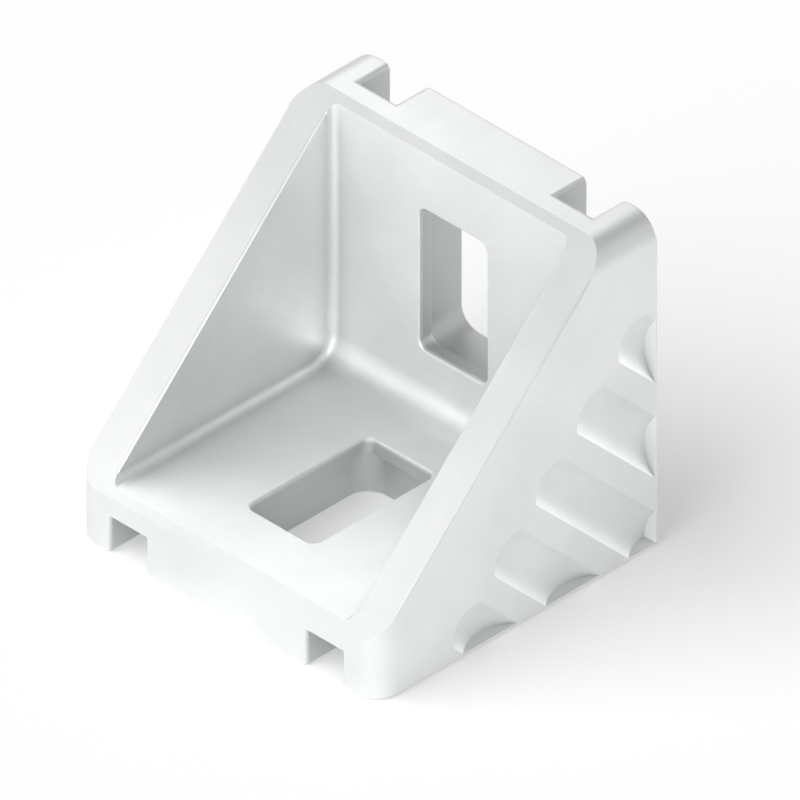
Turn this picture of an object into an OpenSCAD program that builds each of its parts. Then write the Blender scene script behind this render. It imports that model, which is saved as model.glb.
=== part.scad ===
// Cast angle bracket that joins two slotted profiles at a right angle.
// X runs across the bracket, the base leg lies along Y and the upright leg stands up Z.

/* [Legs] */
// Width of the bracket across both side walls
width = 42.8; // [38:0.2:60]
// Length of each leg, from the heel to its free end
leg_l = 40; // [38:0.5:60]
// Thickness of each leg, from its mounting face to the pocket
leg_t = 7.8; // [7.2:0.1:9]
// Height of the square face at each free end, below the sloping rim
end_h = 7; // [5.5:0.1:7]

/* [Side walls] */
// Thickness of each side wall
wall_t = 4.5; // [3.5:0.1:6]
// Radius of the outer edges round each free end
corner_r = 3.1; // [1.5:0.1:4]
// Radius of the outer heel edge
heel_r = 0.6; // [0.3:0.1:1.2]

/* [Pocket] */
// Fillet between the side walls and the legs
pocket_r = 1; // [0.6:0.1:1.6]
// Fillet between the two legs
bend_r = 3.4; // [2.4:0.1:5]

/* [Bolt slots] */
// Width of each bolt slot, across the bracket
slot_w = 9.5; // [6.6:0.1:11]
// Length of each bolt slot, along the leg
slot_l = 17.2; // [12:0.2:18]
// Distance from the outer heel to the middle of each slot
slot_at = 23.6; // [22.5:0.1:24.5]
// Radius of the slot corners
slot_r = 1; // [0.4:0.1:1.5]
// Thickness of the seat that each bolt head clamps
seat_t = 2; // [1.5:0.1:3]
// How much wider than the slot the relief behind its seat is, on each side
relief_gap = 1.5; // [0.8:0.1:2]

/* [Channels] */
// Width of the rail under each side wall
rail_w = 5; // [4.4:0.1:6]
// Width of the channel beside each rail
channel_w = 5; // [4.2:0.1:6]
// Depth of the channels, from the mounting face
channel_h = 4.3; // [3:0.1:5]
// Length of the channels, from the free end
channel_l = 31; // [8:0.5:32]
// Radius of the corners at the channels' blind ends
channel_r = 1.2; // [0.4:0.1:2]
// Round on the edges of the channels' mouths
mouth_r = 0.7; // [0.3:0.1:1.2]

/* [Flutes] */
// Number of flutes in each side wall
flutes = 5; // [1:1:5]
// Distance between neighbouring flutes
flute_pitch = 8.26; // [6.5:0.02:8.4]
// Width of each flute
flute_w = 5.4; // [4:0.1:6]
// Depth of each flute at its middle
flute_h = 1; // [0.6:0.1:1.6]
// Distance from the heel to the front end of the flutes
flute_l = 23.3; // [22:0.1:25]
// Radius of the flutes' front ends, seen from the side
flute_end_r = 3.2; // [3:0.1:5]
// Flush lip between the flutes and each mounting face
flute_lip = 0.5; // [0.4:0.1:1.5]
// Angle of the walls that close the flutes at both ends, from the side face
flute_draft = 60; // [40:1:60]

/* [Hidden] */
$fn = 64;
// How far a cutting shape runs past the face that it opens
past = 2;
pocket_w = width - 2 * wall_t;
relief_w = slot_w + 2 * relief_gap;
relief_l = slot_l + 2 * relief_gap;
relief_r = slot_r + relief_gap;
relief_h = leg_t - seat_t;
// Middle of a channel, out from the middle of the bracket
channel_x = width / 2 - rail_w - channel_w / 2;
flute_half = flute_w / 2;
// Radius of the round cutter that leaves a flute of this width and depth
flute_r = (pow(flute_half, 2) + pow(flute_h, 2)) / (2 * flute_h);
// Depth of the cutters that end a flute, and how far their walls run over that depth
flute_cut = flute_h + 0.5;
flute_run = flute_cut / tan(flute_draft);

// What one leg has, repeated on the other by a mirror on the heel's diagonal
module both_legs() {
    children();
    mirror([0, 1, 1]) children();
}

// What one side has, repeated on the other
module both_sides() {
    children();
    mirror([1, 0, 0]) children();
}

// A side view drawn out across the bracket
module across(length) {
    rotate([90, 0, 90]) linear_extrude(height = length, center = true) children();
}

// Rectangle with four rounded corners, centred
module rounded_rect(w, l, r) {
    square([w - 2 * r, l], center = true);
    square([w, l - 2 * r], center = true);
    for (x = [-1, 1], y = [-1, 1])
        translate([x * (w / 2 - r), y * (l / 2 - r)]) circle(r);
}

// Side view of the whole bracket: two legs and the slope between their free ends
module wedge_view() {
    difference() {
        polygon([[0, 0], [-leg_l, 0], [-leg_l, end_h], [-end_h, leg_l], [0, leg_l]]);
        difference() {
            translate([-heel_r, -past]) square(heel_r + past);
            translate([-heel_r, heel_r]) circle(heel_r);
        }
    }
}

// Leg seen on its mounting face: square at the heel, rounded at its free end
module leg_view() {
    translate([0, -leg_l / 2]) rounded_rect(width, leg_l, corner_r);
    translate([-width / 2, -leg_l / 2]) square([width, leg_l / 2]);
}

// Solid wedge that the bracket is hollowed from
module wedge() {
    intersection() {
        across(width) wedge_view();
        linear_extrude(height = leg_l) leg_view();
        mirror([0, 1, 1]) linear_extrude(height = leg_l) leg_view();
    }
}

// Side view of the pocket, set in from the legs, with a round of radius r between them
module pocket_view(inset, r) {
    low = leg_t + inset;
    high = leg_l + past;
    polygon([[-low - r, low], [-high, low], [-high, high], [-low, high], [-low, low + r]]);
    translate([-low - r, low + r]) circle(r);
}

// Pocket between the side walls, filleted along all its inner edges
module pocket() {
    bend_at = leg_t + bend_r;
    edge_x = pocket_w / 2 - pocket_r;
    across(2 * edge_x) pocket_view(0, bend_r);
    across(pocket_w) pocket_view(pocket_r, bend_r - pocket_r);
    both_sides() translate([edge_x, -bend_at, bend_at]) {
        both_legs() translate([0, 0, pocket_r - bend_r])
            rotate([90, 0, 0]) cylinder(h = leg_l + past - bend_at, r = pocket_r);
        rotate([0, 90, 0]) rotate_extrude(angle = 90)
            translate([bend_r - pocket_r, 0]) circle(pocket_r);
    }
}

// Bolt slot through the seat of a leg, with the wider relief behind it
module bolt_slot() {
    translate([0, -slot_at, 0]) {
        linear_extrude(height = leg_t + past) rounded_rect(slot_w, slot_l, slot_r);
        translate([0, 0, -past])
            linear_extrude(height = relief_h + past) rounded_rect(relief_w, relief_l, relief_r);
    }
}

// Flare of a mouth that opens at Y = 0, for an edge that lies at X = 0
module flare_view() {
    difference() {
        translate([0, -past]) square([mouth_r, mouth_r + past]);
        translate([mouth_r, mouth_r]) circle(mouth_r);
    }
}

// Channel seen on the mounting face, with its mouth at Y = 0
module channel_plan() {
    translate([0, (channel_l - past) / 2])
        rounded_rect(channel_w, channel_l + past, channel_r);
    for (side = [0, 1])
        mirror([side, 0]) translate([channel_w / 2, 0]) flare_view();
}

// Channel seen from the side, with its mouth at Y = 0 and its roof on the right
module channel_section() {
    translate([-past, -past]) square([channel_h + past, channel_l + 2 * past]);
    translate([channel_h, 0]) flare_view();
}

// Channel in a mounting face, open at the leg's free end
module channel() {
    translate([channel_x, -leg_l, 0]) intersection() {
        translate([0, 0, -past]) linear_extrude(height = leg_t + past) channel_plan();
        rotate([0, -90, 0])
            linear_extrude(height = channel_w + 2 * past, center = true) channel_section();
    }
}

// One flute as a cutter, sunk into the plane Z = 0 and running along +X from its round end
module flute() {
    end_at = flute_end_r - flute_l;
    intersection() {
        translate([-flute_l, 0, flute_r - flute_h])
            rotate([0, 90, 0]) cylinder(h = 2 * flute_l, r = flute_r);
        translate([end_at, 0, -flute_cut]) union() {
            cylinder(h = 2 * flute_cut, r1 = flute_end_r - flute_run, r2 = flute_end_r + flute_run);
            translate([0, -flute_end_r, 0])
                cube([2 * flute_l, 2 * flute_end_r, 2 * flute_cut]);
        }
    }
}

// Space beside the base leg that the flutes may cut, down to the sloping edge of its lip
module above_lip() {
    inner = width / 2 - flute_cut;
    outer = width / 2 + flute_cut;
    rotate([90, 0, 0]) linear_extrude(height = leg_l)
        polygon([
            [inner, flute_lip + flute_run],
            [outer, flute_lip - flute_run],
            [outer, leg_l],
            [inner, leg_l]
        ]);
}

// All the flutes of one side wall, square to the slope and ending at both lips
module side_flutes() {
    first = -(flutes - 1) / 2;
    intersection() {
        translate([width / 2, 0, 0]) rotate([90, 0, 90]) rotate([0, 0, -45])
            for (i = [0 : flutes - 1])
                translate([0, (first + i) * flute_pitch, 0]) flute();
        above_lip();
        mirror([0, 1, 1]) above_lip();
    }
}

module angle_bracket() {
    color("gainsboro") difference() {
        wedge();
        pocket();
        both_legs() {
            bolt_slot();
            both_sides() channel();
        }
        both_sides() side_flutes();
    }
}

// The heel's middle is moved back by half a leg, so the origin is under the bracket's middle
translate([0, leg_l / 2, 0]) angle_bracket();
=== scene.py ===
import math

import bpy
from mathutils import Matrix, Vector


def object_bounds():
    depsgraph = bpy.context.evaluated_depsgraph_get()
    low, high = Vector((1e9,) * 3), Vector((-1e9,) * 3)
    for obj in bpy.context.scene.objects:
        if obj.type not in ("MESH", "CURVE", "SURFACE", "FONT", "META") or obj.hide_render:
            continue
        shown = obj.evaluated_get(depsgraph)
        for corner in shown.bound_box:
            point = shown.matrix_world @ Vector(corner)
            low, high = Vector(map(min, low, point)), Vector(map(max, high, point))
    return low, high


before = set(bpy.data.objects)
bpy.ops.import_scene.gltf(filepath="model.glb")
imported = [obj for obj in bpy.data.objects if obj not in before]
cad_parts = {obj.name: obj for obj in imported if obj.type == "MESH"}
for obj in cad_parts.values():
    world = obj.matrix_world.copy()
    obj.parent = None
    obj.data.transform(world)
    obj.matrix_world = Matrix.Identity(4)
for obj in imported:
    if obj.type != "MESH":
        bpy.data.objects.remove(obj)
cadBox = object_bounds()  # the CAD's own box, before anything is dressed
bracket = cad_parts["angle_bracket"]
print("frame loaded:", len(bracket.data.polygons), "faces")


def hexToLinear(hexCode):  # "#dddddd" in sRGB to the linear values that a shader takes
    channels = [int(hexCode[i:i + 2], 16) / 255 for i in (1, 3, 5)]
    return [c / 12.92 if c <= 0.04045 else ((c + 0.055) / 1.055) ** 2.4 for c in channels] + [1.0]


# a node, its settings, and a value or a link for each input; a shader node's kind is given in short
def addNode(tree, kind, settings=None, inputs=None):
    node = tree.nodes.new(kind if "Node" in kind else "ShaderNode" + kind)
    for name, value in (settings or {}).items():
        setattr(node, name, value)
    for name, value in (inputs or {}).items():
        if isinstance(value, bpy.types.NodeSocket):
            tree.links.new(value, node.inputs[name])
        else:
            node.inputs[name].default_value = value
    return node


def newMaterial(name):
    material = bpy.data.materials.new(name)
    material.use_nodes = True
    material.node_tree.nodes.clear()
    return material, material.node_tree


casting = {
    "seamGap": 0.001,          # mm, points of the CAD mesh that lie this close are joined
    "flatAngle": 0.05,         # degrees, neighbouring faces that turn by less than this are joined
    "edgeRound": 0.36,         # mm, the small round that a die leaves on every square outer edge
    "roundSteps": 3,
    "roundFrom": 85,           # degrees between faces, from where an outward edge is rounded
    "shortEdge": 0.1,          # mm, edges this short close up, so that no two rounds cross at a corner
    "creaseAngle": 24,         # degrees between faces, from where an edge still looks crisp after that
    "aluminium": "#f3f4f4",
    "aluminiumDull": "#e7eae9",
    "flowSize": 11.0,          # mm, the cloudy flow marks of the cast skin
    "flowNoise": {"Detail": 4.0, "Roughness": 0.55},
    "flowRange": (0.25, 0.75),     # of the noise, from the dull tone to the pale one
    "pitSize": 0.13,           # mm, the pits of the blasting grit
    "pitDepth": 0.004,         # mm
    "pitStrength": 0.5,
    "pitNoise": {"Detail": 1.0, "Roughness": 0.5},
    "pitRange": (0.42, 0.58),      # of the noise, from the floor of a pit to its rim
    "pitRoughness": 0.59,      # the matt floors of the pits
    "glossRoughness": 0.50,    # the burnished tops between them
    "paintedCornerShade": "#b6bab8",       # painted shade: the base colour darkens to this in hollow corners
    "cornerShadeReach": 4.0,        # mm, how far out of a corner the painted shade reaches
    "cornerRays": 6,
    "cornerShadeRange": (0.2, 0.85),    # of the open share round a point, from the darkest painted shade to none
    "paintedRecessShade": "#d2d5d4",         # painted shade: a darker base colour in the slots and channels
    "recessRoughness": 0.62,
    "recessShadeEdge": 0.25,          # mm, how soft the border of the painted recess shade is
    # where that painted shade is on the base leg, on both sides of the middle: centre and half sizes in mm
    "recesses": {
        "slot": [(0.0, -3.6, 3.8), (6.6, 10.6, 3.65)],
        "channels": [(13.9, -4.5, 2.25), (2.8, 16.0, 2.15)],
    },
}


def recessBoxes(spec):  # the base leg's boxes, each followed by its mirror image on the back leg
    heel = round(cadBox[1].y * 1000, 3)  # mm along Y, where the two mounting faces meet
    boxes = []
    for centre, half in spec["recesses"].values():
        boxes.append((centre, half))
        boxes.append(((centre[0], heel - centre[2], heel - centre[1]), (half[0], half[2], half[1])))
    return boxes


def insideOf(tree, place, boxes, edge):  # 1 inside any of the boxes, which repeat on the left, and 0 outside
    mirrored = addNode(tree, "VectorMath", {"operation": "ABSOLUTE"}, {0: place})
    split = addNode(tree, "SeparateXYZ", inputs={"Vector": place})
    folded = addNode(tree, "SeparateXYZ", inputs={"Vector": mirrored.outputs["Vector"]})
    spot = addNode(tree, "CombineXYZ", inputs={
        "X": folded.outputs["X"], "Y": split.outputs["Y"], "Z": split.outputs["Z"]})
    nearest = None  # how far outside the nearest box a point lies
    for centre, half in boxes:
        away = addNode(tree, "VectorMath", {"operation": "SUBTRACT"}, {
            0: spot.outputs["Vector"], 1: [c / 1000 for c in centre]})
        away = addNode(tree, "VectorMath", {"operation": "ABSOLUTE"}, {0: away.outputs["Vector"]})
        away = addNode(tree, "VectorMath", {"operation": "SUBTRACT"}, {
            0: away.outputs["Vector"], 1: [h / 1000 for h in half]})
        axes = addNode(tree, "SeparateXYZ", inputs={"Vector": away.outputs["Vector"]})
        most = addNode(tree, "Math", {"operation": "MAXIMUM"}, {0: axes.outputs["X"], 1: axes.outputs["Y"]})
        most = addNode(tree, "Math", {"operation": "MAXIMUM"}, {0: most.outputs[0], 1: axes.outputs["Z"]})
        if nearest is not None:
            most = addNode(tree, "Math", {"operation": "MINIMUM"}, {0: nearest, 1: most.outputs[0]})
        nearest = most.outputs[0]
    inside = addNode(tree, "MapRange", inputs={"Value": nearest, "From Min": 0.0, "From Max": -edge / 1000})
    return inside.outputs["Result"]


def blastedCastAluminium(spec):
    # Die-cast aluminium, bead blasted: a pale metal, silky from burnished tops and soft from matt pits, with
    # painted shade in hollow corners, slots and channels
    material, tree = newMaterial("blasted_cast_aluminium")
    place = addNode(tree, "TexCoord").outputs["Object"]
    flow = addNode(tree, "TexNoise", inputs={
        "Vector": place, "Scale": 1000 / spec["flowSize"], **spec["flowNoise"]})
    pits = addNode(tree, "TexNoise", inputs={
        "Vector": place, "Scale": 1000 / spec["pitSize"], **spec["pitNoise"]})
    clouds = addNode(tree, "ValToRGB", inputs={"Fac": flow.outputs["Fac"]})
    dull, pale = clouds.color_ramp.elements
    dull.position, pale.position = spec["flowRange"]
    dull.color = hexToLinear(spec["aluminiumDull"])
    pale.color = hexToLinear(spec["aluminium"])
    gloss = addNode(tree, "MapRange", inputs={
        "Value": pits.outputs["Fac"], "From Min": spec["pitRange"][0], "From Max": spec["pitRange"][1],
        "To Min": spec["pitRoughness"], "To Max": spec["glossRoughness"]})
    skin = addNode(tree, "Bump", inputs={
        "Height": pits.outputs["Fac"], "Strength": spec["pitStrength"], "Distance": spec["pitDepth"] / 1000})
    # painted shade: the open share round each point darkens the base colour in hollow corners
    around = addNode(tree, "AmbientOcclusion", {"samples": spec["cornerRays"], "only_local": True}, {
        "Distance": spec["cornerShadeReach"] / 1000})
    clear = addNode(tree, "MapRange", inputs={
        "Value": around.outputs["AO"],
        "From Min": spec["cornerShadeRange"][0], "From Max": spec["cornerShadeRange"][1]})
    tone = addNode(tree, "MixRGB", inputs={
        "Fac": clear.outputs["Result"],
        "Color1": hexToLinear(spec["paintedCornerShade"]), "Color2": clouds.outputs["Color"]})
    # painted shade: the slots and channels take a darker base colour, and their own roughness
    recessShadeAndRoughness = insideOf(tree, place, recessBoxes(spec), spec["recessShadeEdge"])
    tone = addNode(tree, "MixRGB", inputs={
        "Fac": recessShadeAndRoughness, "Color1": tone.outputs["Color"], "Color2": hexToLinear(spec["paintedRecessShade"])})
    gloss = addNode(tree, "MapRange", inputs={
        "Value": recessShadeAndRoughness, "To Min": gloss.outputs["Result"], "To Max": spec["recessRoughness"]})
    metal = addNode(tree, "BsdfPrincipled", inputs={
        "Base Color": tone.outputs["Color"], "Metallic": 1.0,
        "Roughness": gloss.outputs["Result"], "Normal": skin.outputs["Normal"]})
    addNode(tree, "OutputMaterial", inputs={"Surface": metal.outputs["BSDF"]})
    return material


def newMeshTree(name):  # a tree that changes a mesh, the mesh that it gets and the angles at its edges
    tree = bpy.data.node_groups.new(name, "GeometryNodeTree")
    for way in ("INPUT", "OUTPUT"):
        tree.interface.new_socket("Geometry", in_out=way, socket_type="NodeSocketGeometry")
    mesh = addNode(tree, "NodeGroupInput").outputs["Geometry"]
    return tree, mesh, addNode(tree, "GeometryNodeInputMeshEdgeAngle").outputs


# marks the edges that stick out, so hollow corners and the flutes' sloping ends stay as cast
def outwardEdges(spec):
    tree, mesh, angles = newMeshTree("outward_edges")
    square = addNode(tree, "FunctionNodeCompare", {"operation": "GREATER_THAN"}, {
        "A": angles["Signed Angle"], "B": math.radians(spec["roundFrom"])})
    marked = addNode(tree, "GeometryNodeStoreNamedAttribute", {"data_type": "FLOAT", "domain": "EDGE"}, {
        "Geometry": mesh, "Name": "bevel_weight_edge", "Value": square.outputs["Result"]})
    addNode(tree, "NodeGroupOutput", inputs={"Geometry": marked.outputs["Geometry"]})
    return tree


def crispEdges(spec):  # all faces smooth, with a crease only where two of them meet at an angle
    tree, mesh, angles = newMeshTree("crisp_edges")
    bent = addNode(tree, "FunctionNodeCompare", {"operation": "GREATER_THAN"}, {
        "A": angles["Unsigned Angle"], "B": math.radians(spec["creaseAngle"])})
    smooth = addNode(tree, "GeometryNodeSetShadeSmooth", {"domain": "FACE"}, {
        "Geometry": mesh, "Shade Smooth": True})
    soft = addNode(tree, "GeometryNodeSetShadeSmooth", {"domain": "EDGE"}, {
        "Geometry": smooth.outputs["Geometry"], "Shade Smooth": True})
    crisp = addNode(tree, "GeometryNodeSetShadeSmooth", {"domain": "EDGE"}, {
        "Geometry": soft.outputs["Geometry"], "Selection": bent.outputs["Result"], "Shade Smooth": False})
    addNode(tree, "NodeGroupOutput", inputs={"Geometry": crisp.outputs["Geometry"]})
    return tree


def dressBracket(obj, spec):
    weld = obj.modifiers.new("weld", "WELD")
    weld.merge_threshold = spec["seamGap"] / 1000
    flat = obj.modifiers.new("flat_faces", "DECIMATE")
    flat.decimate_type = "DISSOLVE"
    flat.angle_limit = math.radians(spec["flatAngle"])
    outward = obj.modifiers.new("outward_edges", "NODES")
    outward.node_group = outwardEdges(spec)
    edges = obj.modifiers.new("edge_round", "BEVEL")
    edges.width = spec["edgeRound"] / 1000
    edges.segments = spec["roundSteps"]
    edges.limit_method = "WEIGHT"
    edges.use_clamp_overlap = False
    edges.loop_slide = False
    edges.miter_outer = "MITER_ARC"
    close = obj.modifiers.new("close_corners", "WELD")
    close.merge_threshold = spec["shortEdge"] / 1000
    crisp = obj.modifiers.new("crisp_edges", "NODES")
    crisp.node_group = crispEdges(spec)
    level = obj.modifiers.new("level_faces", "WEIGHTED_NORMAL")  # large faces stay flat beside their rounds
    level.keep_sharp = True
    obj.data.materials.clear()
    obj.data.materials.append(blastedCastAluminium(spec))


dressBracket(bracket, casting)
print("bracket dressed")

studio = {
    "floorColour": "#fbfbfb",
    "glowColour": "#ffffff",
    "glowShare": 0.30,         # part of the floor's white that no shadow takes away
    "floorSize": 3.0,          # m
    "worldColour": "#ffffff",
    "worldStrength": 0.30,
    # the sun lights the floor alone, from the left front, so the shadow falls to the right and behind
    "sunPlace": (-0.17, -0.37, 0.42),
    "sunStrength": 3.1,
    "sunWidth": 70,            # degrees across, for a soft shadow
    # the lamps light the bracket alone: place and aim in m, width and height in m, and the brightness of
    # the lamp's face, where 1 is white
    "lamps": {
        "left_front_softbox": [(-0.085, -0.090, 0.062), (0.0, 0.0, 0.012), (0.14, 0.09), 0.95],
        "top_left_softbox": [(-0.13, 0.05, 0.22), (0.0, 0.0, 0.010), (0.20, 0.20), 2.0],
        "right_back_softbox": [(0.17, 0.17, 0.17), (0.0, 0.0, 0.010), (0.16, 0.16), 0.6],
        "low_back_softbox": [(0.04, 0.24, 0.035), (0.02, 0.0, 0.015), (0.22, 0.07), 3.0],
        "camera_side_softbox": [(0.070, -0.105, 0.055), (-0.010, 0.0, 0.010), (0.11, 0.09), 3.5],
        "low_front_softbox": [(-0.10, -0.22, 0.050), (0.0, 0.0, 0.020), (0.18, 0.10), 1.0],
    },
}


def paleFloor(spec):
    # White studio paper: matt, with its own shadow, and seen as plain white by the camera and in the metal
    material, tree = newMaterial("white_paper")
    ray = addNode(tree, "LightPath").outputs
    seen = addNode(tree, "Math", {"operation": "MAXIMUM"}, {
        0: ray["Is Camera Ray"], 1: ray["Is Glossy Ray"]})
    seen = addNode(tree, "Math", {"operation": "MAXIMUM"}, {
        0: seen.outputs[0], 1: ray["Is Transmission Ray"]})
    share = addNode(tree, "Math", {"operation": "MULTIPLY"}, {0: seen.outputs[0], 1: spec["glowShare"]})
    paper = addNode(tree, "BsdfDiffuse", inputs={"Color": hexToLinear(spec["floorColour"])})
    glow = addNode(tree, "Emission", inputs={"Color": hexToLinear(spec["glowColour"]), "Strength": 1.0})
    both = addNode(tree, "MixShader", inputs={
        "Fac": share.outputs[0], 1: paper.outputs["BSDF"], 2: glow.outputs["Emission"]})
    addNode(tree, "OutputMaterial", inputs={"Surface": both.outputs["Shader"]})
    return material


def makeFloor(spec):
    half = spec["floorSize"] / 2
    corners = [(-half, -half, 0), (half, -half, 0), (half, half, 0), (-half, half, 0)]
    mesh = bpy.data.meshes.new("floor")
    mesh.from_pydata(corners, [], [(0, 1, 2, 3)])
    floor = bpy.data.objects.new("floor", mesh)
    floor.data.materials.append(paleFloor(spec))
    bpy.context.scene.collection.objects.link(floor)
    return floor


def makeWorld(spec):
    world = bpy.data.worlds.new("studio")
    world.use_nodes = True
    tree = world.node_tree
    tree.nodes.clear()
    dome = addNode(tree, "Background", inputs={
        "Color": hexToLinear(spec["worldColour"]), "Strength": spec["worldStrength"]})
    addNode(tree, "OutputWorld", inputs={"Surface": dome.outputs["Background"]})
    bpy.context.scene.world = world


def litGroup(name, obj):  # what a lamp may light
    group = bpy.data.collections.new(name)
    group.objects.link(obj)
    return group


def placeLamp(lamp, place, aim, lit):  # a lamp that lights only the objects in lit
    obj = bpy.data.objects.new(lamp.name, lamp)
    obj.location = place
    obj.rotation_euler = (Vector(aim) - Vector(place)).to_track_quat("-Z", "Y").to_euler()
    obj.visible_camera = False
    bpy.context.scene.collection.objects.link(obj)
    obj.light_linking.receiver_collection = lit


def softbox(name, place, aim, size, brightness, lit):
    lamp = bpy.data.lights.new(name, "AREA")
    lamp.shape, lamp.size, lamp.size_y = "RECTANGLE", size[0], size[1]
    lamp.energy = math.pi * size[0] * size[1] * brightness
    placeLamp(lamp, place, aim, lit)


def floorSun(spec, lit):
    lamp = bpy.data.lights.new("floor_sun", "SUN")
    lamp.energy, lamp.angle = spec["sunStrength"], math.radians(spec["sunWidth"])
    placeLamp(lamp, spec["sunPlace"], (0, 0, 0), lit)


photoView = {
    "from": (1, -1, 1),        # the drawing is isometric, seen from the right front
    "aim": (-0.00283, 0.00760, 0.01183),   # m, the point in the middle of the picture
    "width": 0.080,            # m across the picture
    "distance": 0.4,           # m
    "clip": (0.01, 5.0),       # m
}


def makeCamera(spec):
    towards = Vector(spec["from"]).normalized()
    lens = bpy.data.cameras.new("camera")
    lens.type = "ORTHO"
    lens.ortho_scale = spec["width"]
    lens.clip_start, lens.clip_end = spec["clip"]
    camera = bpy.data.objects.new("camera", lens)
    camera.rotation_euler = (-towards).to_track_quat("-Z", "Y").to_euler()
    camera.location = Vector(spec["aim"]) + towards * spec["distance"]
    bpy.context.scene.collection.objects.link(camera)
    bpy.context.scene.camera = camera


floor = makeFloor(studio)
floorSun(studio, litGroup("lit_floor", floor))
makeWorld(studio)
litBracket = litGroup("lit_bracket", bracket)
for name, lamp in studio["lamps"].items():
    softbox(name, *lamp, litBracket)
makeCamera(photoView)
bpy.context.scene.view_settings.view_transform = "Standard"
print("studio set")
